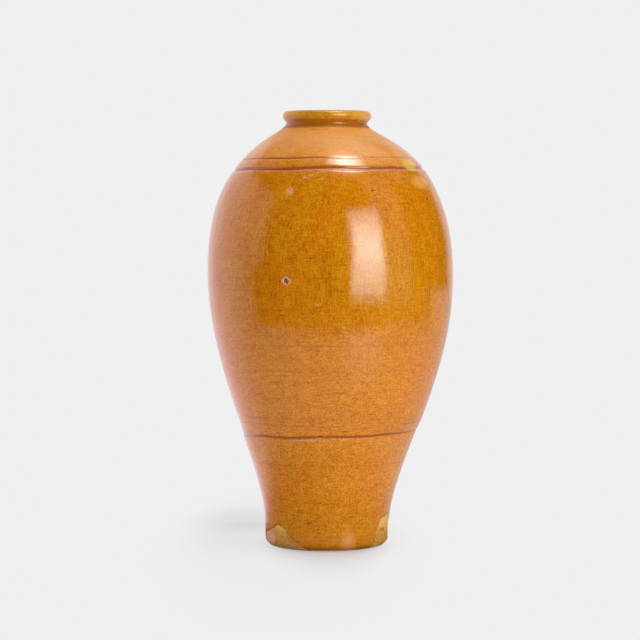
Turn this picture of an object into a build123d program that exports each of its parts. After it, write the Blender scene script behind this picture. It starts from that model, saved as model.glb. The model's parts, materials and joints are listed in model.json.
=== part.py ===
from build123d import *
from build123d.topology import SkipClean

from math import asin, cos, degrees, radians, sin, sqrt, tan
import os

# Amber-glazed meiping vase: a high-shouldered jar on a narrow foot, with a short neck and a rolled lip.
#
# A vase of this size is thrown on the wheel in several sections. Each section's rim gets a groove and the
# next section's lower edge a tongue; the two are wetted with slip, stacked and luted into one vessel. The
# vessel is then glazed inside and outside, and its foot ring is left bare.
#
# Every piece is turned about the Z axis from a flat profile. In a profile X is the radius and Y the height.
# The origin is the centre of the foot, on the plane that the vase stands on. Lengths are in millimetres.

# Foot and underside
foot_radius = 56.8
foot_edge_width = 8.5
foot_edge_height = 5.5
foot_upright_height = 12.7
foot_ring_width = 14.0
recess_depth = 4.0
recess_rounding = 2.0

# Body, drawn as two curves that meet upright at the belly. A pull is the length of a curve's handle.
belly_radius = 113.2
belly_height = 250.8
shoulder_rise = 134.0
foot_pull = 64.7
lower_belly_pull = 95.8
upper_belly_pull = 109.5
shoulder_pull = 15.7
shoulder_slope = 44.7
shoulder_end_radius = 39.9

# Neck and lip. The neck stands in from the shoulder's end, and the lip overhangs the neck.
neck_height = 15.2
neck_inset = 3.3
neck_rounding = 2.5
neck_wall = 7.6
lip_overhang = 4.2
lip_rounding = 4.6
mouth_rounding = 2.8
throat_rounding = 6.0

# Wall and floor, from glazed face to glazed face
foot_wall = 9.5
belly_wall = 7.0
shoulder_wall = 7.0
floor_thickness = 10.0
floor_rounding = 14.0

# Glaze
glaze_thickness = 0.6
glaze_stop_height = 1.2

# Luted joints between the thrown sections
slip_thickness = 0.8
tongue_depth = 3.5
tongue_width = 3.2
lower_seam_height = 105.5
middle_seam_drop = 46.3
shoulder_seam_drop = 38.3

# Lines turned into the outside
seam_line_radius = 1.0
seam_line_depth = 0.4
shoulder_line_radius = 2.2
shoulder_line_depth = 0.9
upper_line_radius = 1.2
upper_line_depth = 0.5
upper_line_rise = 9.4

# How far a cutting profile runs past what it cuts, and the height over which the wall's slope is taken
margin = 20.0
slope_span = 2.0

# Worked out from the sizes above
slope = radians(shoulder_slope)
shoulder_end_height = belly_height + shoulder_rise
vase_height = shoulder_end_height + neck_height
middle_seam_height = belly_height - middle_seam_drop
shoulder_seam_height = shoulder_end_height - shoulder_seam_drop
floor_height = recess_depth + floor_thickness
neck_radius = shoulder_end_radius - neck_inset
mouth_radius = neck_radius - neck_wall
mouth_edge_radius = mouth_radius + mouth_rounding
lip_centre = Vector(neck_radius + lip_overhang - lip_rounding, vase_height - lip_rounding)


def body_curves(foot, belly, shoulder, start_height):
    """The wall's two curves, from the foot up to the belly and from the belly up to the shoulder's end.

    foot, belly and shoulder say how far in from the glazed outside the curves run at those three places.
    """
    foot_x = foot_radius - foot
    belly_x = belly_radius - belly
    end_x = shoulder_end_radius - shoulder * cos(slope)
    end_y = shoulder_end_height - shoulder * sin(slope)
    rise = Bezier(
        (foot_x, start_height),
        (foot_x, start_height + foot_pull),
        (belly_x, belly_height - lower_belly_pull),
        (belly_x, belly_height),
    )
    close = Bezier(
        (belly_x, belly_height),
        (belly_x, belly_height + upper_belly_pull),
        (end_x + shoulder_pull * sin(slope), end_y - shoulder_pull * cos(slope)),
        (end_x, end_y),
    )
    return rise, close


def along_shoulder(start, radius):
    """Where the shoulder's straight line through start reaches the given radius."""
    return Vector(radius, start.Y + (start.X - radius) / tan(slope))


def touching_point(start, centre, radius):
    """Where a line from start touches the right-hand side of a circle."""
    reach = centre - start
    swing = asin(radius / reach.length)
    run = sqrt(reach.length**2 - radius**2)
    return start + reach.normalized().rotate(Axis.Z, -degrees(swing)) * run


def outside_profile(depth):
    """The area inside the outside, at a depth under the glaze's face, taken past the axis.

    The foot's edge is an arc that leaves the standing ring level and meets the upright above it.
    """
    rise, close = body_curves(depth, depth, depth, foot_upright_height)
    ring = Line((-margin, 0), (foot_radius - foot_edge_width - depth, 0))
    edge = TangentArc(ring @ 1, (foot_radius - depth, foot_edge_height), tangent=ring % 1)
    upright = Line(edge @ 1, rise @ 0)
    waist = along_shoulder(close @ 1, neck_radius - depth)
    roll_start = touching_point(waist, lip_centre, lip_rounding - depth)
    neck = FilletPolyline(close @ 1, waist, roll_start, radius=neck_rounding + depth)
    lip_top = lip_centre + Vector(0, lip_rounding - depth)
    roll = RadiusArc(roll_start, lip_top, -(lip_rounding - depth))
    top = Polyline(lip_top, (-margin, vase_height - depth), (-margin, 0))
    return make_face([ring, edge, upright, rise, close, neck, roll, top])


def line_cutters(blank, depth):
    """The round tool marks of the lines turned into the outside, at a depth under the glaze's face."""
    lines = [
        (lower_seam_height, seam_line_radius, seam_line_depth),
        (shoulder_seam_height, shoulder_line_radius, shoulder_line_depth),
        (shoulder_seam_height + upper_line_rise, upper_line_radius, upper_line_depth),
    ]
    marks = []
    for height, radius, cut in lines:
        outer, _, across = wall_frame(blank, height)
        marks.append(Pos(outer + across * (radius - cut)) * Circle(radius + depth))
    return marks


def cavity_profile(depth):
    """The area inside the inside, at a depth under the glaze's face, taken past the axis and the mouth."""
    rise, close = body_curves(
        foot_wall - depth, belly_wall - depth, shoulder_wall - depth, floor_height + floor_rounding
    )
    corner_start = (foot_radius - foot_wall - floor_rounding, floor_height - depth)
    corner = RadiusArc(corner_start, rise @ 0, -(floor_rounding + depth))
    throat = FilletPolyline(
        close @ 1,
        along_shoulder(close @ 1, mouth_radius + depth),
        (mouth_radius + depth, vase_height - mouth_rounding),
        radius=throat_rounding - depth,
    )
    edge = RadiusArc(throat @ 1, (mouth_edge_radius, vase_height - depth), mouth_rounding - depth)
    outlet = Polyline(
        edge @ 1,
        (mouth_edge_radius, vase_height + margin),
        (-margin, vase_height + margin),
        (-margin, floor_height - depth),
        corner @ 0,
    )
    return make_face([corner, rise, close, throat, edge, outlet])


def recess_profile():
    """The hollow turned under the foot, inside the ring that the vase stands on."""
    radius = foot_radius - foot_edge_width - foot_ring_width
    corner = (radius, recess_depth)
    wall = FilletPolyline((radius, 0), corner, (-margin, recess_depth), radius=recess_rounding)
    return make_face([wall, Polyline(wall @ 1, (-margin, 0), (radius, 0))])


def wall_frame(blank, height):
    """The point of the outside at a height, with the directions up along the wall and out across it."""
    points = []
    for level in (height - slope_span / 2, height, height + slope_span / 2):
        line = Edge.make_line((0, level), (2 * belly_radius, level))
        points.append(Vector(max(corner.X for corner in (blank & line).vertices()), level))
    below, outer, above = points
    along = (above - below).normalized()
    return outer, along, along.rotate(Axis.Z, -90)


def luting_band(clay, blank, height):
    """A seam's slip: it crosses the wall squarely from a height on the outside and dips round a tongue."""
    outer, along, across = wall_frame(blank, height)
    ends = (clay & Edge.make_line(outer, outer - across * margin)).vertices()
    middle = sum((Vector(corner) for corner in ends), Vector()) / len(ends)
    run = [(-margin, 0), (-tongue_width / 2, 0), (0, -tongue_depth), (tongue_width / 2, 0), (margin, 0)]
    half = slip_thickness / 2
    lower = [middle + across * u + along * (v - half) for u, v in run]
    upper = [middle + across * u + along * (v + half) for u, v in reversed(run)]
    return make_face(Polyline(*lower, *upper, close=True))


def build():
    """Every piece of the vase, by its name."""
    corner = (Align.MIN, Align.MIN)
    outward = Rectangle(2 * belly_radius, vase_height, align=corner)
    above_stop = Pos(0, glaze_stop_height) * Rectangle(2 * belly_radius, vase_height, align=corner)
    blank = outside_profile(0)
    outside = blank - line_cutters(blank, 0)
    under_glaze = outside_profile(glaze_thickness) - line_cutters(blank, glaze_thickness)
    cavity = cavity_profile(0)
    lined_cavity = cavity_profile(glaze_thickness)

    outer_glaze = (outside - under_glaze - lined_cavity) & above_stop
    inner_glaze = (lined_cavity - cavity) & outside & outward
    clay = (outside - lined_cavity - recess_profile() - outer_glaze) & outward

    seam_heights = {
        "foot_luting_slip": lower_seam_height,
        "belly_luting_slip": middle_seam_height,
        "shoulder_luting_slip": shoulder_seam_height,
        "neck_luting_slip": shoulder_end_height,
    }
    pieces = {"outer_glaze": outer_glaze, "inner_glaze": inner_glaze}
    sections = clay
    for name, height in seam_heights.items():
        band = luting_band(clay, blank, height)
        pieces[name] = clay & band
        sections -= band
    section_names = [
        "foot_section",
        "lower_body_section",
        "upper_body_section",
        "shoulder_section",
        "neck_section",
    ]
    for name, section in zip(section_names, sections.faces().sort_by(Axis.Y), strict=True):
        pieces[name] = section
    return {name: revolve(Plane.XZ * profile, Axis.Z) for name, profile in pieces.items()}


os.makedirs("parts", exist_ok=True)
with SkipClean():
    pieces = build()
for name, piece in pieces.items():
    export_step(piece, f"parts/{name}.step")
    print(name, "solids", len(piece.solids()), "volume", round(piece.volume), "faces", len(piece.faces()))
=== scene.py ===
import json
from math import acos, cos, degrees, pi, radians, sin, tan

import bmesh
import bpy
import numpy as np
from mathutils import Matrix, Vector

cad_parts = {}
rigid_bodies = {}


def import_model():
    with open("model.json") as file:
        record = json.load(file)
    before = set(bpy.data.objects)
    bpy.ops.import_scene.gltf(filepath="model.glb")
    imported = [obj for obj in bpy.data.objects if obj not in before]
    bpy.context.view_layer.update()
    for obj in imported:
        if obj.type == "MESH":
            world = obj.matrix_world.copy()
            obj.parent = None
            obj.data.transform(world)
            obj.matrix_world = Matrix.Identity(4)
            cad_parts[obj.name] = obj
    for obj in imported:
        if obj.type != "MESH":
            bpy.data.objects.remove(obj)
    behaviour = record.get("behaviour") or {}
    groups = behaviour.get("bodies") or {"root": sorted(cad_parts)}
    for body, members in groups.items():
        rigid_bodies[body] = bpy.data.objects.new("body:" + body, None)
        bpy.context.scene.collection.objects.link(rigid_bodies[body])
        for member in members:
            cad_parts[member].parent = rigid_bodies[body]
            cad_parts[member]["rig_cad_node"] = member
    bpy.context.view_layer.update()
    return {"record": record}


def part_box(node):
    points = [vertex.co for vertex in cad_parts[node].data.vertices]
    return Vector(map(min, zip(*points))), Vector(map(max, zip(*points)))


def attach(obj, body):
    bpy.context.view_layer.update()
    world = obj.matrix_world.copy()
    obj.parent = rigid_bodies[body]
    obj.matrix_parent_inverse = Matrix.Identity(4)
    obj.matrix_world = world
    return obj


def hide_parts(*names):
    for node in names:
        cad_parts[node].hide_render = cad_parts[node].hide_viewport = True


# Amber-glazed meiping vase: the thrown and glazed surfaces, their finishes, and a plain studio.
# Lengths are in metres. An azimuth is an angle about the Z axis, from the front (-Y) towards the right (+X).
# A pair of heights, angles, distances or noise values is where a smooth change starts and where it ends.
# A colour is its red, green and blue in linear light.

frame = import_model()
body = "root"

# Outline of the glazed outside and of the cavity
glaze_low, glaze_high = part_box("outer_glaze")
belly_radius = glaze_high.x
vase_height = glaze_high.z
glaze_stop = glaze_low.z
mouth = next(mount for mount in frame["record"]["mounts"] if mount["name"] == "mouth")
mouth_radius = mouth["dims"]["r_mm"] / 1000
foot_radius = 0.0568
foot_edge_width = 0.0085
foot_edge_height = 0.0055
foot_upright_height = 0.0127
belly_height = 0.2508
shoulder_end_radius = 0.0399
shoulder_end_height = 0.3848
shoulder_slope = radians(44.7)
foot_pull = 0.0647
lower_belly_pull = 0.0958
upper_belly_pull = 0.1095
shoulder_pull = 0.0157
neck_radius = 0.0366
neck_rounding = 0.0025
lip_overhang = 0.0042
lip_rounding = 0.0046
mouth_rounding = 0.0028
throat_rounding = 0.006
foot_wall = 0.0095
wall = 0.007
floor_height = 0.014
floor_rounding = 0.014
glaze_thickness = 0.0006

# Lines turned into the outside: height, depth, half width, how strongly dark glaze has pooled there, and how
# much of the line is left on the right side, whose azimuths in degrees follow
seam_line = (0.1055, 0.0006, 0.0023, 0.90, 1.0)
wide_line = (0.3465, 0.0009, 0.0030, 0.95, 1.0)
thin_line = (0.3559, 0.0003, 0.0018, 0.90, 0.35)
turned_lines = [seam_line, wide_line, thin_line]
right_start = (-8, 14)
right_end = (110, 150)

# Cross-section of a turned line in half widths: its flat floor, and where the dark glaze starts and ends
line_floor = 0.15
pool_start = (-0.5, -0.1)
pool_end = (0.45, 1)

# Faint rings left by the potter's fingers: height, and how strongly they show
ring_half_width = 0.0012
faint_rings = [
    (0.0790, 0.5),
    (0.1165, 0.4),
    (0.1220, 0.5),
    (0.1660, 0.5),
    (0.1890, 0.4),
    (0.2209, 0.5),
    (0.2381, 0.5),
    (0.2491, 0.6),
    (0.2675, 0.5),
]

# Unevenness of a vase thrown by hand: how far it leans to the right on the whole and low on the body, by what
# share the lower body is wider, the step where the foot was luted on, how far the neck stands to the left and
# the lip to the right, and how far the turned lines slant up to the right. A reach is a bell's width.
lean_size = 0.0038
lean_height = 0.175
low_lean = 0.0008
low_height = 0.110
low_lean_reach = 0.06
low_swelling = 0.008
low_swelling_reach = 0.055
seam_offset = 0.0010
seam_offset_heights = (seam_line[0] - 0.007, seam_line[0] + 0.011)
seam_offset_reach = 0.035
neck_shift = 0.0011
neck_shift_height = 0.380
neck_shift_reach = 0.011
lip_shift = 0.0004
lip_shift_heights = (0.389, 0.393)
seam_slant = radians(1.6)
seam_slant_reach = 0.05
shoulder_slant = radians(0.7)
shoulder_slant_reach = 0.025
above_true_foot = (0, 0.03)

# Waves in the surface: size, number of waves, turns round the vase, ripples for a metre of height, and seed.
# The waves of the turned lines shift them, in half widths, and change their depth by a share of that shift.
wall_waves = [
    (0.00010, 9, (1, 5), (-12, 12), 11),
    (0.000025, 12, (0, 2), (60, 150), 12),
    (0.00002, 16, (8, 40), (-40, 40), 13),
]
line_waves = (0.15, 6, (1, 9), (0, 1), 14)
line_depth_share = 0.3
loss_waves = (0.0006, 14, (10, 60), (-150, 150), 15)
inside_waves = (0.0002, 8, (1, 4), (-10, 10), 16)
finger_ring_size = 0.0003
finger_ring_spacing = 0.013

# Heights where the waves fade in above the foot, and fade out towards the lip and towards the mouth
calm_foot = (0, 0.012)
calm_lip = (shoulder_end_height, vase_height)
calm_mouth = (0.36, 0.385)

# Losses of glaze at the foot: the upper edge of each as azimuths in degrees and heights in millimetres
glaze_losses = [
    ([-104, -85, -70, -57, -51, -43, -38, -29, -20, -14], [2, 12, 15, 19, 22.5, 20, 13, 8, 2, 0]),
    ([48, 52, 56, 58, 67, 80, 94, 104], [1, 12, 22, 27, 29, 30, 21, 2]),
    ([138, 150, 158, 166, 174, 179], [0, 9, 13, 11, 4, 0]),
]
no_loss = -20
loss_depth = 0.0004
loss_slope = (-0.0006, 0.0006)

# Small marks: azimuth in degrees, height, half width and half height
pits = [
    (-20.2, 0.2471, 0.0040, 0.0034),
    (118.0, 0.2020, 0.0026, 0.0024),
    (-131.0, 0.2930, 0.0022, 0.0022),
    (171.0, 0.1440, 0.0024, 0.0020),
]
nicks = [
    (59.6, 0.3193, 0.0026, 0.0017),
    (28.9, 0.2734, 0.0011, 0.0013),
    (31.3, 0.2654, 0.0009, 0.0017),
    (36.8, 0.2608, 0.0012, 0.0010),
    (37.5, 0.2643, 0.0008, 0.0010),
    (14.6, 0.3237, 0.0018, 0.0007),
    (7.7, 0.2921, 0.0020, 0.0007),
    (-6.4, 0.1072, 0.0042, 0.0013),
    (149.0, 0.3250, 0.0018, 0.0014),
    (-98.0, 0.1330, 0.0014, 0.0012),
    (-160.0, 0.2620, 0.0010, 0.0015),
    (105.0, 0.2880, 0.0012, 0.0010),
]
scuffs_and_highlight = [
    (-7.0, 0.3428, 0.0024, 0.0011),
    (-10.0, 0.3407, 0.0024, 0.0011),
    (-13.0, 0.3385, 0.0024, 0.0011),
    (-20.7, 0.3264, 0.0046, 0.0056),
    (-5.6, 0.2262, 0.0022, 0.0016),
    (46.0, 0.3481, 0.0068, 0.0013),
    # A painted highlight: a pale line under the seam line on the left
    (-14.0, 0.1034, 0.0190, 0.0009),
    (115.0, 0.2690, 0.0060, 0.0030),
    (-148.0, 0.2290, 0.0040, 0.0050),
]
stains = [(59.0, 0.3496, 0.0150, 0.0060), (-165.0, 0.3390, 0.0090, 0.0070)]
faint_stains = [(60.0, 0.3337, 0.0165, 0.0080), (64.0, 0.3950, 0.0220, 0.0060)]
golden_places = [(25.0, 0.2450, 0.0800, 0.0600), (-140.0, 0.2000, 0.0700, 0.0500)]
slip_flakes = [(-68.0, 0.0090, 0.0120, 0.0066), (158.0, 0.0040, 0.0040, 0.0030)]
smears = [(19.5, 0.0085, 0.0095, 0.0125), (-150.0, 0.0100, 0.0090, 0.0090)]

# Grids: columns round the vase, spacings of rows, and the heights over which the spacings change
columns = 340
column_angles = np.linspace(-pi, pi, columns, endpoint=False)
body_step = 0.0029
line_step = 0.0006
line_step_reach = 2.5
lip_step = 0.0008
lip_step_heights = (shoulder_end_height - 0.004, shoulder_end_height)
foot_step = 0.0014
foot_step_heights = (0.010, 0.032)
skin_step = 0.012
skin_fine_step = 0.0020
hollow_neck_heights = (0.370, 0.378)
hollow_foot_heights = (0.006, 0.020)
inside_step = 0.0042
inside_skin_step = 0.008
mouth_step = 0.0008
throat_heights = (0.372, 0.384)
floor_corner_heights = (0.028, 0.040)
curve_steps = 500
arc_steps = 60
outline_steps = 4000
same_place = 1e-7
merge_distance = 1e-6
crease_angle = radians(50)


# Small sums


def ease(value, low, high):
    """Smooth step: nothing at low, one at high, with a level start and end."""
    share = np.clip((value - low) / (high - low), 0, 1)
    return share * share * (3 - 2 * share)


def bell(value, middle, width):
    """Bell curve: one at the middle, falling away over the width."""
    return np.exp(-(((value - middle) / width) ** 2))


def lean(height):
    """Sideways shift of the axis by height.

    It eases in up to the lean's height and goes back to nothing at the lip, with a bell low on the body, a
    small step at the foot's seam, a small swing to the left at the neck and one to the right at the lip.
    """
    back = np.clip((height - lean_height) / (vase_height - lean_height), 0, 1)
    whole = lean_size * ease(height, 0, lean_height) * (1 - back**2)
    low = low_lean * bell(height, low_height, low_lean_reach) * ease(height, *above_true_foot)
    near_seam = bell(height, seam_line[0], seam_offset_reach)
    step = seam_offset * (ease(height, *seam_offset_heights) - 0.5) * near_seam
    neck = neck_shift * bell(height, neck_shift_height, neck_shift_reach)
    return whole + low + step + lip_shift * ease(height, *lip_shift_heights) - neck


def swelling(height):
    """Share by which the vase is wider than its true form: a bell on the lower body."""
    return low_swelling * bell(height, low_height, low_swelling_reach) * ease(height, *above_true_foot)


def slant(height):
    """Rise for each metre to the right: a bell about each group of turned lines, and nothing at the foot."""
    low = tan(seam_slant) * bell(height, seam_line[0], seam_slant_reach) * ease(height, *above_true_foot)
    high = tan(shoulder_slant) * bell(height, wide_line[0], shoulder_slant_reach)
    return low + high


def thrown(points):
    """Points of the true turned form, moved as the wheel left them: swollen, leaned in X and slanted in Z."""
    moved = points.copy()
    wider = 1 + swelling(points[:, 2])
    moved[:, 0] = points[:, 0] * wider + lean(points[:, 2])
    moved[:, 1] = points[:, 1] * wider
    moved[:, 2] = points[:, 2] + points[:, 0] * slant(points[:, 2])
    return moved


# Outlines: rows of radius and height


def cubic(start, start_handle, end_handle, end):
    """Cubic curve through two ends with two handles."""
    t = np.linspace(0, 1, curve_steps)[:, None]
    points = np.array([start, start_handle, end_handle, end])
    weights = np.hstack([(1 - t) ** 3, 3 * t * (1 - t) ** 2, 3 * t**2 * (1 - t), t**3])
    return weights @ points


def arc(centre, radius, start, stop):
    """Part of a circle, from one angle to another in degrees, counted from the outward direction."""
    angle = np.radians(np.linspace(start, stop, arc_steps))
    return np.array(centre) + radius * np.column_stack([np.cos(angle), np.sin(angle)])


def rounded(before, corner, after, radius):
    """Arc that rounds a corner between two straight runs and touches both."""
    corner = np.array(corner)
    back = (before - corner) / np.linalg.norm(before - corner)
    ahead = (after - corner) / np.linalg.norm(after - corner)
    half = np.arccos(back @ ahead) / 2
    inward = (back + ahead) / np.linalg.norm(back + ahead)
    centre = corner + inward * radius / np.sin(half)
    ends = np.array([corner + run * radius / np.tan(half) - centre for run in (back, ahead)])
    start, stop = np.degrees(np.unwrap(np.arctan2(ends[:, 1], ends[:, 0])))
    return arc(centre, radius, start, stop)


def touching_point(start, centre, radius):
    """Where a line from start touches the outward side of a circle."""
    reach = centre - start
    length = np.linalg.norm(reach)
    swing = -np.arcsin(radius / length)
    turn = np.array([[np.cos(swing), -np.sin(swing)], [np.sin(swing), np.cos(swing)]])
    return start + turn @ reach / length * np.sqrt(length**2 - radius**2)


def along_shoulder(start, radius):
    """Where the shoulder's straight line through start reaches a radius."""
    return np.array([radius, start[1] + (start[0] - radius) / tan(shoulder_slope)])


def wall_curves(foot, belly, shoulder, start_height):
    """The wall's two curves, so far in from the outside at the foot, the belly and the shoulder's end."""
    foot_x = foot_radius - foot
    belly_x = belly_radius - belly
    end = np.array([
        shoulder_end_radius - shoulder * cos(shoulder_slope),
        shoulder_end_height - shoulder * sin(shoulder_slope),
    ])
    down = np.array([sin(shoulder_slope), -cos(shoulder_slope)])
    rise = cubic(
        (foot_x, start_height),
        (foot_x, start_height + foot_pull),
        (belly_x, belly_height - lower_belly_pull),
        (belly_x, belly_height),
    )
    close = cubic(
        (belly_x, belly_height),
        (belly_x, belly_height + upper_belly_pull),
        end + down * shoulder_pull,
        end,
    )
    return rise, close


def outside_line():
    """The glazed outside from the foot's bare edge up over the lip to the mouth's edge.

    The foot's edge is an arc that leaves the floor level and ends at the upright, so its radius is the sum of
    the squares of its width and height over twice its height.
    """
    rise, close = wall_curves(0, 0, 0, foot_upright_height)
    edge_radius = (foot_edge_width**2 + foot_edge_height**2) / (2 * foot_edge_height)
    edge_centre = (foot_radius - foot_edge_width, edge_radius)
    edge_start = degrees(acos(1 - glaze_stop / edge_radius)) - 90
    edge_stop = degrees(acos(1 - foot_edge_height / edge_radius)) - 90
    lip_centre = np.array([neck_radius + lip_overhang - lip_rounding, vase_height - lip_rounding])
    waist = along_shoulder(close[-1], neck_radius)
    roll_start = touching_point(waist, lip_centre, lip_rounding)
    roll_angle = np.degrees(np.arctan2(*(roll_start - lip_centre)[::-1]))
    return np.vstack([
        arc(edge_centre, edge_radius, edge_start, edge_stop),
        rise,
        close[1:],
        rounded(close[-1], waist, roll_start, neck_rounding),
        arc(lip_centre, lip_rounding, roll_angle, 90),
        [[mouth_radius + mouth_rounding, vase_height]],
    ])


def cavity_line():
    """The glazed inside from the middle of the floor up through the mouth to its edge."""
    rise, close = wall_curves(foot_wall, wall, wall, floor_height + floor_rounding)
    corner_centre = (foot_radius - foot_wall - floor_rounding, floor_height + floor_rounding)
    bore_top = np.array([mouth_radius, vase_height - mouth_rounding])
    edge_centre = (mouth_radius + mouth_rounding, vase_height - mouth_rounding)
    throat = rounded(close[-1], along_shoulder(close[-1], mouth_radius), bore_top, throat_rounding)
    return np.vstack([
        [[0, floor_height]],
        arc(corner_centre, floor_rounding, -90, 0),
        rise[1:],
        close[1:],
        throat,
        arc(edge_centre, mouth_rounding, 180, 90),
    ])


def run_along(line):
    """Length along an outline at each of its points."""
    return np.concatenate([[0], np.cumsum(np.linalg.norm(np.diff(line, axis=0), axis=1))])


def spread(line, step):
    """An outline with points spaced by a step that may change along it."""
    line = line[np.diff(run_along(line), prepend=-1) > same_place]
    fine = np.linspace(0, run_along(line)[-1], outline_steps)
    path = np.column_stack([np.interp(fine, run_along(line), line[:, axis]) for axis in (0, 1)])
    middle = (path[1:] + path[:-1]) / 2
    count = np.concatenate([[0], np.cumsum(np.diff(fine) / step(middle))])
    places = np.interp(np.linspace(0, count[-1], round(count[-1]) + 1), count, fine)
    return np.column_stack([np.interp(places, fine, path[:, axis]) for axis in (0, 1)])


def outward(line):
    """Unit directions square to an outline that runs upwards on the outside."""
    along = np.gradient(line, run_along(line), axis=0)
    across = np.column_stack([along[:, 1], -along[:, 0]])
    return across / np.linalg.norm(across, axis=1)[:, None]


def near_lines(height):
    """One at the turned lines, falling to nothing a few widths away."""
    bells = [bell(height, level, line_step_reach * width) for level, _, width, _, _ in turned_lines]
    return np.max(bells, axis=0)


def outside_steps(points):
    """Row spacing on the outside: closest at the turned lines, close at the lip and the foot's edge."""
    height = points[:, 1]
    step = np.full(len(points), body_step)
    step = step + (foot_step - step) * (1 - ease(height, *foot_step_heights))
    step = step + (lip_step - step) * ease(height, *lip_step_heights)
    return step + (line_step - step) * near_lines(height)


def skin_steps(points):
    """Row spacing on the hidden inner face of the outside coat: close where the outside is hollow."""
    height = points[:, 1]
    hollow = np.maximum(ease(height, *hollow_neck_heights), 1 - ease(height, *hollow_foot_heights))
    return skin_step + (skin_fine_step - skin_step) * np.maximum(near_lines(height), hollow)


def inside_steps(points):
    """Row spacing in the cavity: closer in the mouth."""
    return inside_step + (mouth_step - inside_step) * ease(points[:, 1], *throat_heights)


def inside_skin_steps(points):
    """Row spacing on the hidden outer face of the inside coat: close at the floor's corner and the mouth."""
    height = points[:, 1]
    corner = np.maximum(ease(height, *throat_heights), 1 - ease(height, *floor_corner_heights))
    return inside_skin_step + (skin_fine_step - inside_skin_step) * corner


def surface_point(angle, level):
    """Place on the thrown outside at an azimuth in degrees and a height."""
    line = outside_line()
    radius = np.interp(level, line[:, 1], line[:, 0])
    turn = radians(angle)
    return thrown(np.array([[radius * sin(turn), -radius * cos(turn), level]]))[0]


# Meshes


def new_piece(name, points, faces, finish, node):
    """A piece with its own mesh, that rides on the vase's body and stands for a CAD node."""
    mesh = bpy.data.meshes.new(name)
    mesh.from_pydata(points.tolist(), [], faces)
    return place_piece(name, mesh, finish, node)


def place_piece(name, mesh, finish, node):
    """Smooth shading with sharp creases, the finish, and the piece's place on the vase."""
    mesh.shade_smooth()
    mesh.set_sharp_from_angle(angle=crease_angle)
    mesh.materials.append(finish)
    piece = bpy.data.objects.new(name, mesh)
    bpy.context.scene.collection.objects.link(piece)
    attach(piece, body)
    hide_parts(node)
    return piece


def grid_faces(rows, closed):
    """Quads between neighbouring rows and columns. Columns always close, and rows close if asked."""
    index = np.arange(rows * columns).reshape(rows, columns)
    below = index if closed else index[:-1]
    above = np.roll(index, -1, axis=0) if closed else index[1:]
    corners = [below, np.roll(below, -1, axis=1), np.roll(above, -1, axis=1), above]
    return np.stack(corners, axis=-1).reshape(-1, 4)


def turned(section):
    """A grid of points: each row and column of radius and height, carried round the axis."""
    radius = section[..., 0]
    east = radius * np.sin(column_angles)
    north = -radius * np.cos(column_angles)
    return np.stack([east, north, section[..., 1]], axis=-1).reshape(-1, 3)


def all_round(line):
    """An outline repeated in every column."""
    return np.repeat(line[:, None, :], columns, axis=1)


def add_values(piece, values):
    """Writes named numbers, one for each vertex, that the finish reads."""
    for name, value in values.items():
        attribute = piece.data.attributes.new(name, "FLOAT", "POINT")
        attribute.data.foreach_set("value", value.astype(np.float32).ravel())


# Surface relief


def waves(azimuth, height, size, count, turns, ripples, seed):
    """Sum of waves that close round the vase, each with its own turns, ripples for a metre and phase."""
    draw = np.random.default_rng(seed)
    total = np.zeros(np.broadcast_shapes(azimuth.shape, height.shape))
    for _ in range(count):
        turn = draw.integers(turns[0], turns[1] + 1)
        ripple = draw.uniform(*ripples)
        total = total + np.cos(turn * azimuth + 2 * pi * ripple * height + draw.uniform(0, 2 * pi))
    return size * total / np.sqrt(count)


def loss_edge(azimuth, height, edge):
    """How far inside a loss a point lies: the loss's upper edge at that azimuth, less the height."""
    angles, tops = edge
    return np.interp(np.degrees(azimuth), angles, tops, left=no_loss, right=no_loss) / 1000 - height


def on_right(azimuth):
    """One on the right side, easing to nothing left of the front's middle and towards the back."""
    angle = np.degrees(azimuth)
    return ease(angle, *right_start) * (1 - ease(angle, *right_end))


def line_cut(distance, width):
    """Cross-section of a turned line: one over its floor, easing to nothing at its half width."""
    return 1 - ease(np.abs(distance), line_floor * width, width)


def line_pool(distance, width):
    """Where dark glaze lies in a turned line: from its floor up its upper wall."""
    start = ease(distance, pool_start[0] * width, pool_start[1] * width)
    return start * (1 - ease(distance, pool_end[0] * width, pool_end[1] * width))


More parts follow.
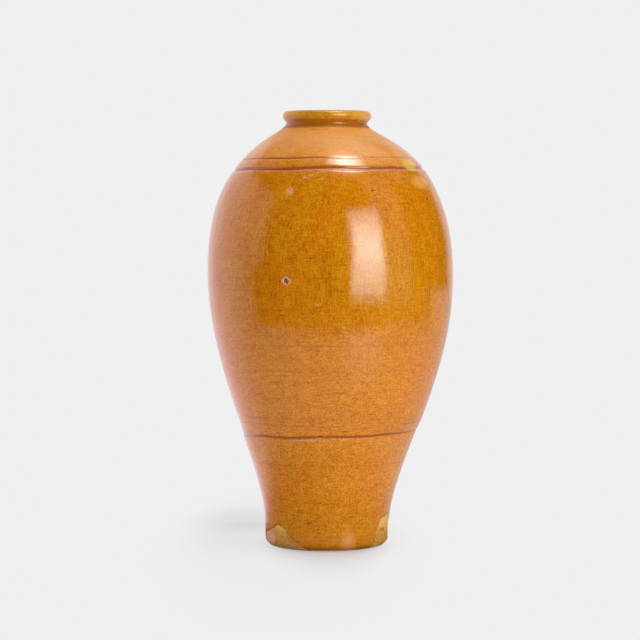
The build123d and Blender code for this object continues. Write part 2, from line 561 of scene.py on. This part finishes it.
def coat_outside():
    """The amber coat outside: a closed skin with throwing ridges, turned lines and glaze losses.

    Each point of the outline is moved along its own normal by the sum of the relief. The skin's inner face
    is the outline with its turned lines, one glaze thickness in.
    """
    line = spread(outside_line(), outside_steps)
    along = run_along(line)[:, None]
    height = line[:, 1:]
    azimuth = column_angles[None, :]
    calm = (1 - ease(height, *calm_lip)) * ease(height, *calm_foot)
    relief = calm * sum(waves(azimuth, height, *row) for row in wall_waves)

    # Turned lines
    tint = np.zeros_like(relief)
    sunk = np.zeros_like(along)
    wander = waves(azimuth, np.zeros_like(height), *line_waves)
    for level, depth, width, pooled, kept in turned_lines:
        distance = along - np.interp(level, line[:, 1], along[:, 0])
        wandering = distance + wander * width
        left = 1 - (1 - kept) * on_right(azimuth)
        relief = relief - left * depth * (1 + line_depth_share * wander) * line_cut(wandering, width)
        tint = np.maximum(tint, left * pooled * line_pool(wandering, width))
        sunk = sunk + depth * line_cut(distance, width)

    # Losses of glaze at the foot
    losses = [loss_edge(azimuth, height, edge) for edge in glaze_losses]
    bare = np.max(losses, axis=0) + waves(azimuth, height, *loss_waves)
    relief = relief - loss_depth * ease(bare, *loss_slope)

    normal = outward(line)
    outer = line[:, None, :] + relief[:, :, None] * normal[:, None, :]
    inner = all_round(spread(line - (glaze_thickness + sunk) * normal, skin_steps)[::-1])
    section = np.concatenate([outer, inner])
    piece = new_piece(
        "outer_glaze_coat",
        thrown(turned(section)),
        grid_faces(len(section), closed=True).tolist(),
        amber_glaze(),
        "outer_glaze",
    )

    def with_hidden_face(value, filler):
        return np.concatenate([value, np.full(inner.shape[:2], filler)])

    add_values(piece, {"line_tint": with_hidden_face(tint, 0), "bare": with_hidden_face(bare, -1)})


def coat_inside():
    """The coat inside: a closed skin from the floor to the mouth's edge, with the potter's finger rings."""
    line = spread(cavity_line(), inside_steps)[1:]
    along = run_along(line)[:, None]
    height = line[:, 1:]
    azimuth = column_angles[None, :]
    rings = finger_ring_size * np.cos(2 * pi * along / finger_ring_spacing + azimuth)
    relief = (1 - ease(height, *calm_mouth)) * (rings + waves(azimuth, height, *inside_waves))
    normal = -outward(line)
    face = line[:, None, :] + relief[:, :, None] * normal[:, None, :]
    back = all_round(spread(line - glaze_thickness * normal, inside_skin_steps)[::-1])
    section = np.concatenate([face, back])
    rows = len(section)
    poles = np.array([[0, 0, floor_height], [0, 0, floor_height - glaze_thickness]])
    points = np.vstack([thrown(turned(section)), poles])
    first = np.arange(columns)
    onward = np.roll(first, -1)
    last = (rows - 1) * columns
    upper_fan = np.column_stack([first, np.full(columns, rows * columns), onward])
    lower_fan = np.column_stack([last + first, last + onward, np.full(columns, rows * columns + 1)])
    outward_grids = [grid_faces(rows, closed=False), upper_fan, lower_fan]
    faces = [face for grid in outward_grids for face in grid[:, ::-1].tolist()]
    new_piece("inner_glaze_coat", points, faces, inside_glaze(), "inner_glaze")


def clay_piece(node, finish):
    """A hidden clay or slip piece: the CAD piece's own mesh, merged and moved as the wheel left it."""
    source = next(item for item in bpy.data.objects if item.get("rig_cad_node") == node)
    mesh = source.data.copy()
    mesh.materials.clear()
    form = bmesh.new()
    form.from_mesh(mesh)
    bmesh.ops.remove_doubles(form, verts=form.verts, dist=merge_distance)
    form.to_mesh(mesh)
    form.free()
    points = np.empty(3 * len(mesh.vertices), np.float32)
    mesh.vertices.foreach_get("co", points)
    mesh.vertices.foreach_set("co", thrown(points.reshape(-1, 3)).astype(np.float32).ravel())
    mesh.update()
    place_piece(node + "_clay", mesh, finish, node)


# Finishes


class Wire:
    """A value in a finish. Arithmetic on it adds Math nodes."""

    def __init__(self, finish, socket):
        self.finish = finish
        self.socket = socket

    def __add__(self, other):
        return self.finish.sum_of("ADD", self, other)

    def __sub__(self, other):
        return self.finish.sum_of("SUBTRACT", self, other)

    def __rsub__(self, other):
        return self.finish.sum_of("SUBTRACT", other, self)

    def __mul__(self, other):
        return self.finish.sum_of("MULTIPLY", self, other)

    __radd__ = __add__
    __rmul__ = __mul__


class Finish:
    """The nodes of a material or a world, built from expressions over Object coordinates."""

    speck_edge = 0.4
    chance_edge = 0.02

    def __init__(self, owner):
        self.owner = owner
        owner.use_nodes = True
        self.tree = owner.node_tree
        self.tree.nodes.clear()
        self.place = self.node("ShaderNodeTexCoord", output="Object")

    def node(self, kind, settings=None, sockets=None, output=0):
        """A node with its settings made first and its sockets fed with numbers, colours or other wires."""
        node = self.tree.nodes.new(kind)
        for name, value in (settings or {}).items():
            setattr(node, name, value)
        for name, value in (sockets or {}).items():
            if isinstance(value, Wire):
                self.tree.links.new(value.socket, node.inputs[name])
            else:
                socket = node.inputs[name]
                socket.default_value = (*value, 1.0) if socket.type == "RGBA" else value
        return Wire(self, node.outputs[output]) if node.outputs else None

    def sum_of(self, operation, *values):
        """A Math node on numbers."""
        return self.node("ShaderNodeMath", {"operation": operation}, dict(enumerate(values)))

    def vector(self, operation, *values):
        """A Vector Math node. A length, a distance and a dot product are numbers."""
        output = "Value" if operation in ("LENGTH", "DISTANCE", "DOT_PRODUCT") else "Vector"
        return self.node("ShaderNodeVectorMath", {"operation": operation}, dict(enumerate(values)), output)

    def part(self, place, name):
        """The X, Y or Z part of a place."""
        return self.node("ShaderNodeSeparateXYZ", {}, {0: place}, name)

    def ray(self, kind):
        """One for rays of a kind: Camera, Glossy or Transmission."""
        return self.node("ShaderNodeLightPath", output=f"Is {kind} Ray")

    def mix(self, share, first, second):
        """A colour between two others."""
        settings = {"data_type": "RGBA", "blend_type": "MIX"}
        return self.node("ShaderNodeMix", settings, {0: share, 6: first, 7: second}, 2)

    def layers(self, shade, rows):
        """Colours laid over a shade one after another: how strongly each covers, where, and the colour."""
        for strength, mask, paint in rows:
            shade = self.mix(strength * mask, shade, paint)
        return shade

    def step(self, value, low, high, way="SMOOTHSTEP"):
        """Step of a value, smooth or LINEAR: nothing at low and one at high."""
        sockets = {"Value": value, "From Min": low, "From Max": high}
        return self.node("ShaderNodeMapRange", {"interpolation_type": way}, sockets)

    def fall(self, value, low, high):
        """Smooth step down of a value: one at low and nothing at high."""
        return 1 - self.step(value, low, high)

    def within(self, value, start, end):
        """One between two smooth changes of a value, up and then down."""
        return self.step(value, *start) * self.fall(value, *end)

    def moved(self, scale, shift):
        """Object coordinates, stretched and then shifted."""
        return self.node("ShaderNodeMapping", {}, {"Vector": self.place, "Scale": scale, "Location": shift})

    def noise(self, scale, detail, roughness, stretch=(1, 1, 1), shift=0.0):
        """Cloudy noise from nothing to one, with about so many spots to the metre times the stretch."""
        place = self.moved(stretch, (shift, shift, shift))
        sockets = {"Vector": place, "Scale": scale, "Detail": detail, "Roughness": roughness}
        return self.node("ShaderNodeTexNoise", {}, sockets)

    def specks(self, scale, size, share, stretch=(1, 1, 1), shift=0.0):
        """Specks at random: cells to the metre, a speck's share of a cell, the share of cells with one."""
        cells = {"Vector": self.moved(stretch, (shift, shift, shift)), "Scale": scale}
        distance = self.node("ShaderNodeTexVoronoi", {}, cells, "Distance")
        draw = self.node("ShaderNodeTexVoronoi", {}, cells, "Color")
        chance = self.node("ShaderNodeSeparateColor", {}, {"Color": draw})
        chosen = self.step(chance, 1 - share, 1 - share + self.chance_edge)
        return self.step(size - distance, 0.0, self.speck_edge * size) * chosen

    def nearest(self, marks):
        """Distance to the nearest of some oval marks: nothing at a mark's middle and one at its edge."""
        closest = None
        for angle, level, half_width, half_height in marks:
            scale = (1 / half_width, 1 / half_width, 1 / half_height)
            shift = [-place * size for place, size in zip(surface_point(angle, level), scale)]
            distance = self.vector("LENGTH", self.moved(scale, shift))
            closest = distance if closest is None else self.sum_of("MINIMUM", closest, distance)
        return closest

    def value(self, name):
        """A number that the mesh carries for each vertex."""
        return self.node("ShaderNodeAttribute", {"attribute_name": name}, {}, "Fac")

    def glow(self, tint, level):
        """An even glow of a tint, at a level that may change from place to place."""
        scaled = self.node("ShaderNodeVectorMath", {"operation": "SCALE"}, {0: tint, "Scale": level})
        return self.node("ShaderNodeEmission", {}, {"Color": scaled, "Strength": 1.0})

    def close(self, sockets, relief):
        """The shader, with its relief in metres as a bump."""
        bump = self.node("ShaderNodeBump", {}, {"Strength": 1.0, "Distance": 1.0, "Height": relief}, "Normal")
        shader = self.node("ShaderNodeBsdfPrincipled", {}, {**sockets, "Normal": bump})
        self.node("ShaderNodeOutputMaterial", {}, {"Surface": shader})
        return self.owner


def grey(level):
    """A colour with the same red, green and blue."""
    return (level, level, level)


# Amber glaze: its colour low and high on the body, how the deepest and lightest tones multiply it, and the
# clay in its losses. The colours laid over these stand in the rows of layers.
low_amber = (0.660, 0.203, 0.002)
high_amber = (0.575, 0.182, 0.001)
deep_tone = (0.70, 0.53, 0.5)
light_tone = (1.22, 1.55, 6.0)
loss_deep = (0.42, 0.165, 0.010)
loss_pale = (0.70, 0.360, 0.060)

# Heights where the glaze changes, and where painted light and shade lie on it
upper_body = (0.14, 0.26)
on_shoulder = (0.345, 0.363)
low_painted_light_start = (0.03, 0.07)
low_painted_light_end = (0.09, 0.13)
golden_foot = (0.02, 0.06)
under_neck = (0.3640, 0.3810)
painted_reflection_end = (0.3825, 0.3840)
dull_end = (0.3850, 0.3890)
waist_start = (0.3832, 0.3850)
waist_end = (0.3895, 0.3945)
on_lip = (0.3885, 0.3930)
foot_top = (0.004, 0.024)
hem_top = (0.002, 0.007)
loss_high_start = (0.010, 0.024)

# Where marks fade out, in shares of their size, and the edges of the losses
golden_fade = (0.2, 1.1)
stain_fade = (0.5, 1.05)
faint_fade = (0.4, 1.1)
scuff_and_highlight_fade = (0.2, 1.3)
smear_fade = (0.2, 1.2)
flake_fade = (0.75, 1.1)
pit_fade = (0.85, 1.1)
core_fade = (0.55, 0.8)
chip_fade = (0.9, 1.5)
nick_fade = (0.5, 1.0)
loss_rim = (-0.0012, -0.0001)
loss_start = (-0.0001, 0.0003)

# Noises of the glaze: spots to the metre, detail, roughness, stretch and shift
everyway = (1, 1, 1)
glaze_noises = {
    "clouds": (14, 2, 0.5, everyway, 0.0),
    "patches": (45, 3, 0.55, everyway, 0.0),
    "drifts": (75, 3, 0.55, (1, 1, 0.3), 9.0),
    "runs": (260, 2, 0.5, (1, 1, 0.35), 4.0),
    "mottle": (400, 2, 0.6, everyway, 3.0),
    "streaks": (750, 1, 0.5, (1, 1, 0.16), 0.0),
    "threads": (750, 1, 0.5, (0.18, 0.18, 1), 7.0),
    "bands": (120, 2, 0.5, (0.1, 0.1, 1), 6.0),
    "grain": (950, 1, 0.5, everyway, 11.0),
    "blush": (520, 2, 0.6, everyway, 21.0),
    "gold": (38, 2, 0.5, (1, 1, 0.5), 17.0),
    "scratches": (900, 1, 0.5, (0.04, 0.04, 1), 31.0),
}

# How strongly noises change the tone everywhere, and how much more on the upper body
tone_shares = {
    "clouds": (0.2, 0.0),
    "patches": (0.25, 0.0),
    "mottle": (0.35, -0.1),
    "grain": (1.8, -0.4),
    "drifts": (0.15, 0.25),
    "runs": (0.2, 0.1),
    "streaks": (0.7, 0.2),
    "threads": (0.9, -0.3),
    "bands": (0.3, -0.15),
}
tone_contrast = 0.86
shoulder_calm = 0.4
deep_tones = (0.1, 0.5)
light_tones = (0.5, 0.9)

# Fine relief of the glaze: heights of the noises' bumps, and depths of marks
noise_bumps = {"mottle": 0.00003, "streaks": 0.00001, "threads": 0.00001, "grain": 0.000006}
speck_depth = 0.00002
core_depth = 0.0003
nick_depth = 0.00002
glaze_roughness = 0.11
glaze_ior = 1.5


def plain_amber(finish, noises, height, upper, shoulder):
    """The glaze's colour without its texture: golden in places, paler on the shoulder as painted top light,
    and paler low on the body about the seam as painted light.
    """
    golden = 0.5 * finish.fall(finish.nearest(golden_places), *golden_fade)
    golden = golden + 0.4 * finish.step(noises["gold"], 0.5, 0.66)
    golden = golden * (0.2 + 0.8 * upper) + 0.4 * finish.fall(height, *golden_foot)
    return finish.layers(finish.mix(upper, low_amber, high_amber), [
        # Painted top light: the shoulder paler where the top light falls
        (0.6, shoulder, (0.79, 0.290, 0.010)),
        # Painted light: the lower body about the seam paler
        (0.5, finish.within(height, low_painted_light_start, low_painted_light_end), (0.72, 0.245, 0.006)),
        (1, golden, (0.575, 0.228, 0.001)),
    ])


def amber_glaze():
    """Glossy amber glaze over pale clay: brushed streaks, iron specks, dark glaze in the lines, and wear."""
    finish = Finish(bpy.data.materials.new("amber_glaze"))
    height = finish.part(finish.place, "Z")
    upper = finish.step(height, *upper_body)
    shoulder = finish.step(height, *on_shoulder)
    lip = finish.step(height, *on_lip)
    noises = {name: finish.noise(*sizes) for name, sizes in glaze_noises.items()}
    patches = noises["patches"]
    mottle = noises["mottle"]
    uneven = patches - 0.5
    mottled = mottle - 0.5
    grainy = noises["grain"] - 0.5

    # Tone of the glaze: streaks run down the upper body, and threads and bands round the lower body
    tone = 0
    for name, (everywhere, more_above) in tone_shares.items():
        tone = tone + (everywhere + more_above * upper) * (noises[name] - 0.5)
    tone = 0.5 + (tone_contrast - shoulder_calm * shoulder) * tone
    plain = plain_amber(finish, noises, height, upper, shoulder)
    deepest = finish.vector("MULTIPLY", plain, deep_tone)
    lightest = finish.vector("MULTIPLY", plain, light_tone)
    deep = finish.mix(finish.step(tone, *deep_tones, "LINEAR"), deepest, plain)
    shade = finish.mix(finish.step(tone, *light_tones, "LINEAR"), deep, lightest)

    # Blushes, painted reflection under the neck, yellow lip, thick glaze and painted shade at the waist,
    # darker foot
    shade = finish.layers(shade, [
        (0.6, finish.step(noises["blush"], 0.5, 0.68) * (1 - upper), (0.65, 0.215, 0.034)),
        # Painted reflection: a pale band on the shoulder under the neck
        (0.4, finish.within(height, under_neck, painted_reflection_end), (0.68, 0.310, 0.080)),
        (0.75, lip, (0.58, 0.270, 0.004)),
        (0.5, lip * finish.step(mottle, 0.5, 0.66), (0.38, 0.130, 0.003)),
        # Thick glaze with painted shade under the lip's overhang: darker from the shoulder's end up to the
        # lip
        (0.72, finish.within(height, waist_start, waist_end), (0.30, 0.075, 0.001)),
        # Darker towards the foot's bottom
        (0.3, finish.fall(height, *foot_top), (0.44, 0.130, 0.001)),
        # The glaze's dark lower edge with painted contact shadow on the foot's bevel
        (0.5, finish.fall(height, *hem_top), (0.30, 0.080, 0.002)),
    ])

    # Broken dark lines left by turning, faint finger rings, and specks
    rings = 0
    for level, strength in faint_rings:
        distance = finish.sum_of("ABSOLUTE", height - level)
        rings = rings + strength * finish.fall(distance, 0.0, ring_half_width)
    dark_specks = finish.specks(300, 0.20, 0.45) * finish.step(patches, 0.30, 0.60)
    fine_specks = finish.specks(480, 0.24, 0.55, shift=13.0)
    dashes = finish.specks(240, 0.17, 0.28, stretch=(0.3, 0.3, 1), shift=5.0)
    broken = finish.step(noises["scratches"], 0.62, 0.70) * finish.step(patches, 0.44, 0.58)
    shade = finish.layers(shade, [
        (0.4, broken, (0.26, 0.060, 0.002)),
        (0.8, rings * finish.step(patches, 0.38, 0.62), (0.36, 0.090, 0.002)),
        (0.65 - 0.35 * upper + 0.5 * lip, dark_specks, (0.22, 0.042, 0.003)),
        (0.45 - 0.3 * upper + 0.3 * lip, fine_specks, (0.30, 0.075, 0.002)),
        (0.6 + 0.3 * lip, dashes, (0.22, 0.048, 0.003)),
        (0.3, finish.specks(140, 0.12, 0.22, shift=2.0), (0.80, 0.42, 0.15)),
    ])

    # Dark glaze in the turned lines, stains, scuffs and a painted highlight under the seam line, and smears
    # at the foot
    blur = 0.8 * uneven + 0.5 * mottled
    rub = finish.step(mottle + 0.6 * grainy, 0.36, 0.60)
    scuff_and_highlight = finish.fall(finish.nearest(scuffs_and_highlight) + blur, *scuff_and_highlight_fade) * rub
    shade = finish.layers(shade, [
        (0.9, finish.value("line_tint"), (0.31, 0.049, 0.017)),
        (0.9, finish.fall(finish.nearest(stains) + blur, *stain_fade), (0.72, 0.430, 0.070)),
        (0.75, finish.fall(finish.nearest(faint_stains) + blur, *faint_fade), (0.76, 0.390, 0.085)),
        (0.7, scuff_and_highlight, (0.82, 0.470, 0.230)),
        (0.55, finish.fall(finish.nearest(smears) + blur, *smear_fade), (0.82, 0.390, 0.130)),
    ])

    # Bare clay in the losses, pits and nicks
    edge = finish.value("bare") + 0.002 * mottled + 0.001 * grainy
    bare = finish.step(edge, *loss_start)
    flake = finish.fall(finish.nearest(slip_flakes) + 0.5 * blur, *flake_fade)
    clay = finish.layers(finish.mix(finish.step(mottle, 0.3, 0.7, "LINEAR"), loss_deep, loss_pale), [
        (0.85, finish.step(height, *loss_high_start), (0.86, 0.500, 0.140)),
        (0.6, fine_specks, (0.28, 0.095, 0.015)),
        (0.5, dark_specks, (0.20, 0.070, 0.015)),
        (0.75, flake, (0.72, 0.400, 0.270)),
    ])
    pit = finish.nearest(pits) + 1.4 * mottled + 0.8 * grainy
    core = finish.fall(pit, *core_fade)
    chip = finish.nearest(nicks) + 0.8 * grainy
    nick = finish.fall(chip, *nick_fade)
    shade = finish.layers(shade, [
        (0.55, finish.step(edge, *loss_rim) * (1 - bare), (0.24, 0.070, 0.012)),
        (1, bare, clay),
        (0.85, finish.fall(pit, *pit_fade), (0.86, 0.550, 0.280)),
        (0.95, core, (0.17, 0.048, 0.036)),
        (0.25, finish.fall(chip, *chip_fade), (0.78, 0.420, 0.130)),
        (0.85, nick, (0.21, 0.050, 0.010)),
    ])

    matt = finish.sum_of("MAXIMUM", bare, 0.4 * core)
    dull = finish.within(height, under_neck, dull_end)
    roughness = glaze_roughness + 0.06 * uneven + 0.05 * shoulder + 0.15 * scuff_and_highlight + 0.3 * dull
    roughness = roughness + 0.12 * lip + 0.6 * matt
    relief = 0
    for name, size in noise_bumps.items():
        relief = relief + size * noises[name]
    relief = relief - speck_depth * dark_specks - core_depth * core - nick_depth * nick
    return finish.close({"Base Color": shade, "Roughness": roughness, "IOR": glaze_ior}, relief)


def inside_glaze():
    """The thinner amber glaze inside, with runs and specks."""
    finish = Finish(bpy.data.materials.new("inside_glaze"))
    patches = finish.noise(60, 3, 0.6)
    mottle = finish.noise(240, 3, 0.6)
    runs = finish.noise(200, 2, 0.5, stretch=(1, 1, 0.05))
    tone = 0.5 + 0.8 * (patches - 0.5) + 0.6 * (mottle - 0.5) + 0.8 * (runs - 0.5)
    deep = (0.30, 0.085, 0.004)
    pale = (0.54, 0.205, 0.012)
    speck = (0.14, 0.040, 0.006)
    shade = finish.mix(finish.step(tone, 0.1, 0.9), deep, pale)
    shade = finish.mix(0.55 * finish.specks(230, 0.16, 0.35), shade, speck)
    roughness = 0.18 + 0.12 * (patches - 0.5)
    relief = 0.00003 * mottle + 0.00002 * runs
    return finish.close({"Base Color": shade, "Roughness": roughness}, relief)


def bare_clay():
    """Fired buff clay with grog, iron spots and fine turning rings."""
    finish = Finish(bpy.data.materials.new("bare_clay"))
    patches = finish.noise(45, 3, 0.6)
    mottle = finish.noise(420, 4, 0.65)
    spots = finish.specks(260, 0.15, 0.25)
    ring_spacing = 0.0022
    radius = finish.vector("LENGTH", finish.vector("MULTIPLY", finish.place, (1, 1, 0)))
    rings = finish.sum_of("SINE", 2 * pi / ring_spacing * radius + 9 * patches)
    tone = 0.5 + 0.7 * (patches - 0.5) + 0.8 * (mottle - 0.5) + 0.08 * rings
    deep = (0.42, 0.235, 0.115)
    pale = (0.70, 0.460, 0.260)
    iron = (0.16, 0.070, 0.030)
    soil = (0.20, 0.130, 0.080)
    soiled = finish.fall(finish.part(finish.place, "Z"), 0.0, 0.0022) * finish.step(patches, 0.35, 0.65)
    shade = finish.layers(finish.mix(finish.step(tone, 0.15, 0.85), deep, pale), [
        (0.7, spots, iron),
        (0.45, soiled, soil),
    ])
    relief = 0.00005 * rings + 0.00006 * mottle - 0.00006 * spots
    return finish.close({"Base Color": shade, "Roughness": 0.72 + 0.2 * (mottle - 0.5)}, relief)


def fired_slip():
    """Fired luting slip: finer and greyer than the clay."""
    finish = Finish(bpy.data.materials.new("fired_slip"))
    mottle = finish.noise(500, 3, 0.6)
    deep = (0.36, 0.235, 0.145)
    pale = (0.52, 0.360, 0.240)
    shade = finish.mix(finish.step(mottle, 0.3, 0.7), deep, pale)
    return finish.close({"Base Color": shade, "Roughness": 0.8}, 0.00004 * mottle)


# Studio

backdrop_level = 0.871
ambient_level = 0.53

# Walls of the room as the glaze mirrors them: azimuths and elevations with the softness of their edges, in
# degrees, and the level. Azimuths run from -30 to 330, so that no panel crosses their seam.
room_radius = 40.0
room_level = 0.01
room_seam = -30
room_panels = [
    ((142, 281), 7, (-60, 38), 5, 0.85),
    ((270, 294), 7, (3, 38), 5, 0.85),
    ((198, 262), 18, (-60, 36), 5, 1.28),
    ((132, 248), 12, (42, 66), 6, 0.72),
    ((48, 82), 7, (-11, 60), 6, 0.55),
    ((18.5, 52.5), 2.5, (-9.5, 34), 3, 3.4),
    ((21, 50), 3, (-6, 28.5), 4, 6.3),
    ((24, 48), 4, (3, 20), 7, 11.2),
]
pink_side = (170, 230)
pink_light = (1.0, 0.85, 1.0)

# Glows of the top light as the glaze mirrors them: azimuth and elevation, outer and inner angle, and level
room_glows = [
    ((62, 76), 17, 0, 19.0),
    ((150, 74), 32, 0, 1.4),
    ((0, 90), 38, 8, 0.6),
    ((116, 56), 27, 6, 0.8),
]

# Lamps: azimuth, elevation, distance, width and height, radiance and tint
lamp_aim = Vector((0, 0, 0.22))
lamps = {
    "softbox": (41, 4, 1.3, (0.75, 1.0), 3.95, (1, 1, 1)),
    "left_wall": (-105, 4, 1.5, (1.8, 1.4), 1.0, (1.0, 0.86, 0.86)),
    "top_light": (10, 79, 1.6, (0.5, 0.5), 9.0, (1, 1, 1)),
}

# The floor: its paint, its reach to the sides and the back, and its rounded front edge
floor_paint = (0.78, 0.82, 0.87)
floor_reach = 3.0
front_reach = 0.60
left_reach = 0.82
right_reach = 0.95
front_steps = 49

# How the floor comes up to the backdrop's level away from the foot: the share it starts from, and for each
# way up the ground's stretch and shift, the distances over which it comes up, and by how much
pale_share = -0.05
pale_ways = [
    ((1, 0.25, 0), (0, 0, 0), (0.02, 0.065), 0.58),
    ((1, 0.25, 0), (0.035, 0, 0), (0.06, 0.135), 0.22),
    ((1, 0.5, 0), (0.08, -0.1, 0), (0.02, 0.07), 0.25),
]

# What the glaze mirrors of the floor, a painted glow that only reflections show: a painted shadow round the
# foot, the bright left side, the pool of light before the softbox, the dim front edge and the dim right side
mirrored_floor = 0.70
mirrored_shadow = 0.06
mirrored_shadow_place = (-0.018, -0.012, 0.0)
mirrored_shadow_reach = (0.11, 0.22)
bright_side = -125
bright_facing = (0.6, 1.0)
bright_gain = 0.6
pool_place = (0.25, -0.43, 0.0)
pool_reach = (0.05, 0.25)
dim_front = (0.40, 0.60)
dim_front_share = 0.4
dim_side = 80
dim_side_facing = (0.8, 1.0)
dim_side_reach = (0.65, 1.2)
dim_side_share = 0.9
pink_facing = (-0.3, 0.7)

# The camera's frame
photo_size = 640
photo_focal = 2640
sensor_width = 36
camera_pitch = radians(2.65)
camera_distance = 2.437
camera_aim = Vector((-0.0061, 0.0, 0.2077))


def around(azimuth, elevation):
    """Unit direction from the vase, by azimuth and elevation in degrees."""
    a = radians(azimuth)
    e = radians(elevation)
    return Vector((sin(a) * cos(e), -cos(a) * cos(e), sin(e)))


def aimed(name, data, aim, away):
    """A lamp or camera, so far away from what it is aimed at."""
    item = bpy.data.objects.new(name, data)
    item.location = aim + away
    item.rotation_euler = (-away).to_track_quat("-Z", "Y").to_euler()
    bpy.context.scene.collection.objects.link(item)
    return item


def lamp(name, azimuth, elevation, distance, size, radiance, tint):
    """A rectangular lamp of an even brightness that only lights: it isn't seen, also not in reflections."""
    data = bpy.data.lights.new(name, "AREA")
    data.shape = "RECTANGLE"
    data.size, data.size_y = size
    data.energy = radiance * pi * size[0] * size[1]
    data.color = tint
    item = aimed(name, data, lamp_aim, around(azimuth, elevation) * distance)
    item.visible_camera = False
    item.visible_glossy = False


def stage_piece(name, mesh, finish):
    """A thing of the studio. Its glow is found by reflections alone, so it adds no light to the vase."""
    finish.owner.cycles.emission_sampling = "NONE"
    mesh.materials.append(finish.owner)
    item = bpy.data.objects.new(name, mesh)
    bpy.context.scene.collection.objects.link(item)
    return item


def room():
    """A dome that only the glaze's reflections show: a dark room with pale walls and a top light.

    The level in a direction starts from the dark level. Each panel then pulls it to its own level within its
    azimuths and elevations, and each glow adds to it by the angle from the glow's middle. The left side is
    tinted pink.
    """
    mesh = bpy.data.meshes.new("room")
    form = bmesh.new()
    bmesh.ops.create_uvsphere(form, u_segments=96, v_segments=48, radius=room_radius)
    form.to_mesh(mesh)
    form.free()
    finish = Finish(bpy.data.materials.new("room"))
    direction = finish.vector("NORMALIZE", finish.place)
    east, north, up = (finish.part(direction, name) for name in "XYZ")
    azimuth = finish.sum_of("ARCTAN2", east, -1 * north) * degrees(1)
    azimuth = azimuth + 360 * finish.sum_of("LESS_THAN", azimuth, room_seam)
    elevation = finish.sum_of("ARCSINE", up) * degrees(1)

    def between(value, ends, soft):
        low, high = ends
        return finish.within(value, (low - soft, low + soft), (high - soft, high + soft))

    light = room_level
    for sides, side_soft, ends, end_soft, level in room_panels:
        inside = between(azimuth, sides, side_soft) * between(elevation, ends, end_soft)
        light = light + inside * (level - light)
    for place, outer, inner, level in room_glows:
        angle = finish.sum_of("ARCCOSINE", finish.vector("DOT_PRODUCT", direction, around(*place)))
        light = light + level * finish.fall(angle, radians(inner), radians(outer))
    tint = finish.mix(finish.step(azimuth, *pink_side), grey(1.0), pink_light)
    finish.node("ShaderNodeOutputMaterial", {}, {"Surface": finish.glow(tint, light)})
    item = stage_piece("room", mesh, finish)
    item.visible_camera = False
    item.visible_diffuse = False
    item.visible_shadow = False
    item.visible_transmission = False


def floor():
    """A pale floor: the vase's shadow near it, the backdrop's own level further out, and a painted glow that
    only reflections show.

    Its front edge is half an ellipse, and the sides and the back run far out.
    """
    turn = np.linspace(pi, 2 * pi, front_steps)
    reach = np.where(np.cos(turn) < 0, left_reach, right_reach)
    front = np.column_stack([reach * np.cos(turn), front_reach * np.sin(turn), np.zeros(front_steps)])
    far_side = [(floor_reach, 0, 0), (floor_reach, floor_reach, 0), (-floor_reach, floor_reach, 0)]
    outline = [tuple(point) for point in front] + far_side + [(-floor_reach, 0, 0)]
    mesh = bpy.data.meshes.new("floor")
    mesh.from_pydata(outline, [], [range(len(outline))])

    finish = Finish(bpy.data.materials.new("floor"))
    paint = finish.node("ShaderNodeBsdfDiffuse", {}, {"Color": floor_paint})
    pale = finish.node("ShaderNodeEmission", {}, {"Color": grey(backdrop_level), "Strength": 1.0})
    far = pale_share
    for stretch, shift, distances, rise in pale_ways:
        far = far + rise * finish.step(finish.vector("LENGTH", finish.moved(stretch, shift)), *distances)

    clear = finish.step(finish.vector("DISTANCE", finish.place, mirrored_shadow_place), *mirrored_shadow_reach)
    outward_from_foot = finish.vector("NORMALIZE", finish.place)
    leftward = finish.vector("DOT_PRODUCT", outward_from_foot, around(bright_side, 0))
    rightward = finish.vector("DOT_PRODUCT", outward_from_foot, around(dim_side, 0))
    forward = -1 * finish.part(finish.place, "Y")
    far_right = finish.step(finish.vector("LENGTH", finish.place), *dim_side_reach)
    far_right = far_right * finish.step(rightward, *dim_side_facing)
    bright = mirrored_floor + bright_gain * finish.step(leftward, *bright_facing)
    bright = bright + finish.fall(finish.vector("DISTANCE", finish.place, pool_place), *pool_reach)
    bright = bright * (1 - dim_front_share * finish.step(forward, *dim_front))
    bright = bright * (1 - dim_side_share * far_right)
    # Painted shadow round the foot in the floor's mirrored glow
    level = mirrored_shadow + clear * (bright - mirrored_shadow)
    tint = finish.mix(finish.step(leftward, *pink_facing), grey(1.0), pink_light)
    mirrored = finish.glow(tint, level)

    shown = finish.sum_of("MAXIMUM", finish.ray("Camera"), finish.ray("Transmission"))
    surface = finish.node("ShaderNodeMixShader", {}, {0: far * shown, 1: paint, 2: pale})
    surface = finish.node("ShaderNodeMixShader", {}, {0: finish.ray("Glossy"), 1: surface, 2: mirrored})
    finish.node("ShaderNodeOutputMaterial", {}, {"Surface": surface})
    stage_piece("floor", mesh, finish)


def backdrop():
    """An even pale world to look at and in reflections, and a softer even light on the vase."""
    world = bpy.data.worlds.new("backdrop")
    bpy.context.scene.world = world
    finish = Finish(world)
    shown = finish.sum_of("MAXIMUM", finish.ray("Camera"), finish.ray("Glossy"))
    shown = finish.sum_of("MAXIMUM", shown, finish.ray("Transmission"))
    level = ambient_level + shown * (backdrop_level - ambient_level)
    glow = finish.node("ShaderNodeBackground", {}, {"Color": grey(1.0), "Strength": level})
    finish.node("ShaderNodeOutputWorld", {}, {"Surface": glow})


def camera():
    """A long lens in front of the vase, a little above its middle and looking slightly down."""
    data = bpy.data.cameras.new("camera")
    data.sensor_width = sensor_width
    data.lens = sensor_width * photo_focal / photo_size
    back = Vector((0, -cos(camera_pitch), sin(camera_pitch)))
    bpy.context.scene.camera = aimed("camera", data, camera_aim, back * camera_distance)


# The vase

coat_outside()
coat_inside()
clay = bare_clay()
for section in ("foot", "lower_body", "upper_body", "shoulder", "neck"):
    clay_piece(section + "_section", clay)
slip = fired_slip()
for seam in ("foot", "belly", "shoulder", "neck"):
    clay_piece(seam + "_luting_slip", slip)

# The studio
floor()
backdrop()
camera()
for name, values in lamps.items():
    lamp(name, *values)
room()

scene = bpy.context.scene
scene.view_settings.view_transform = "Standard"
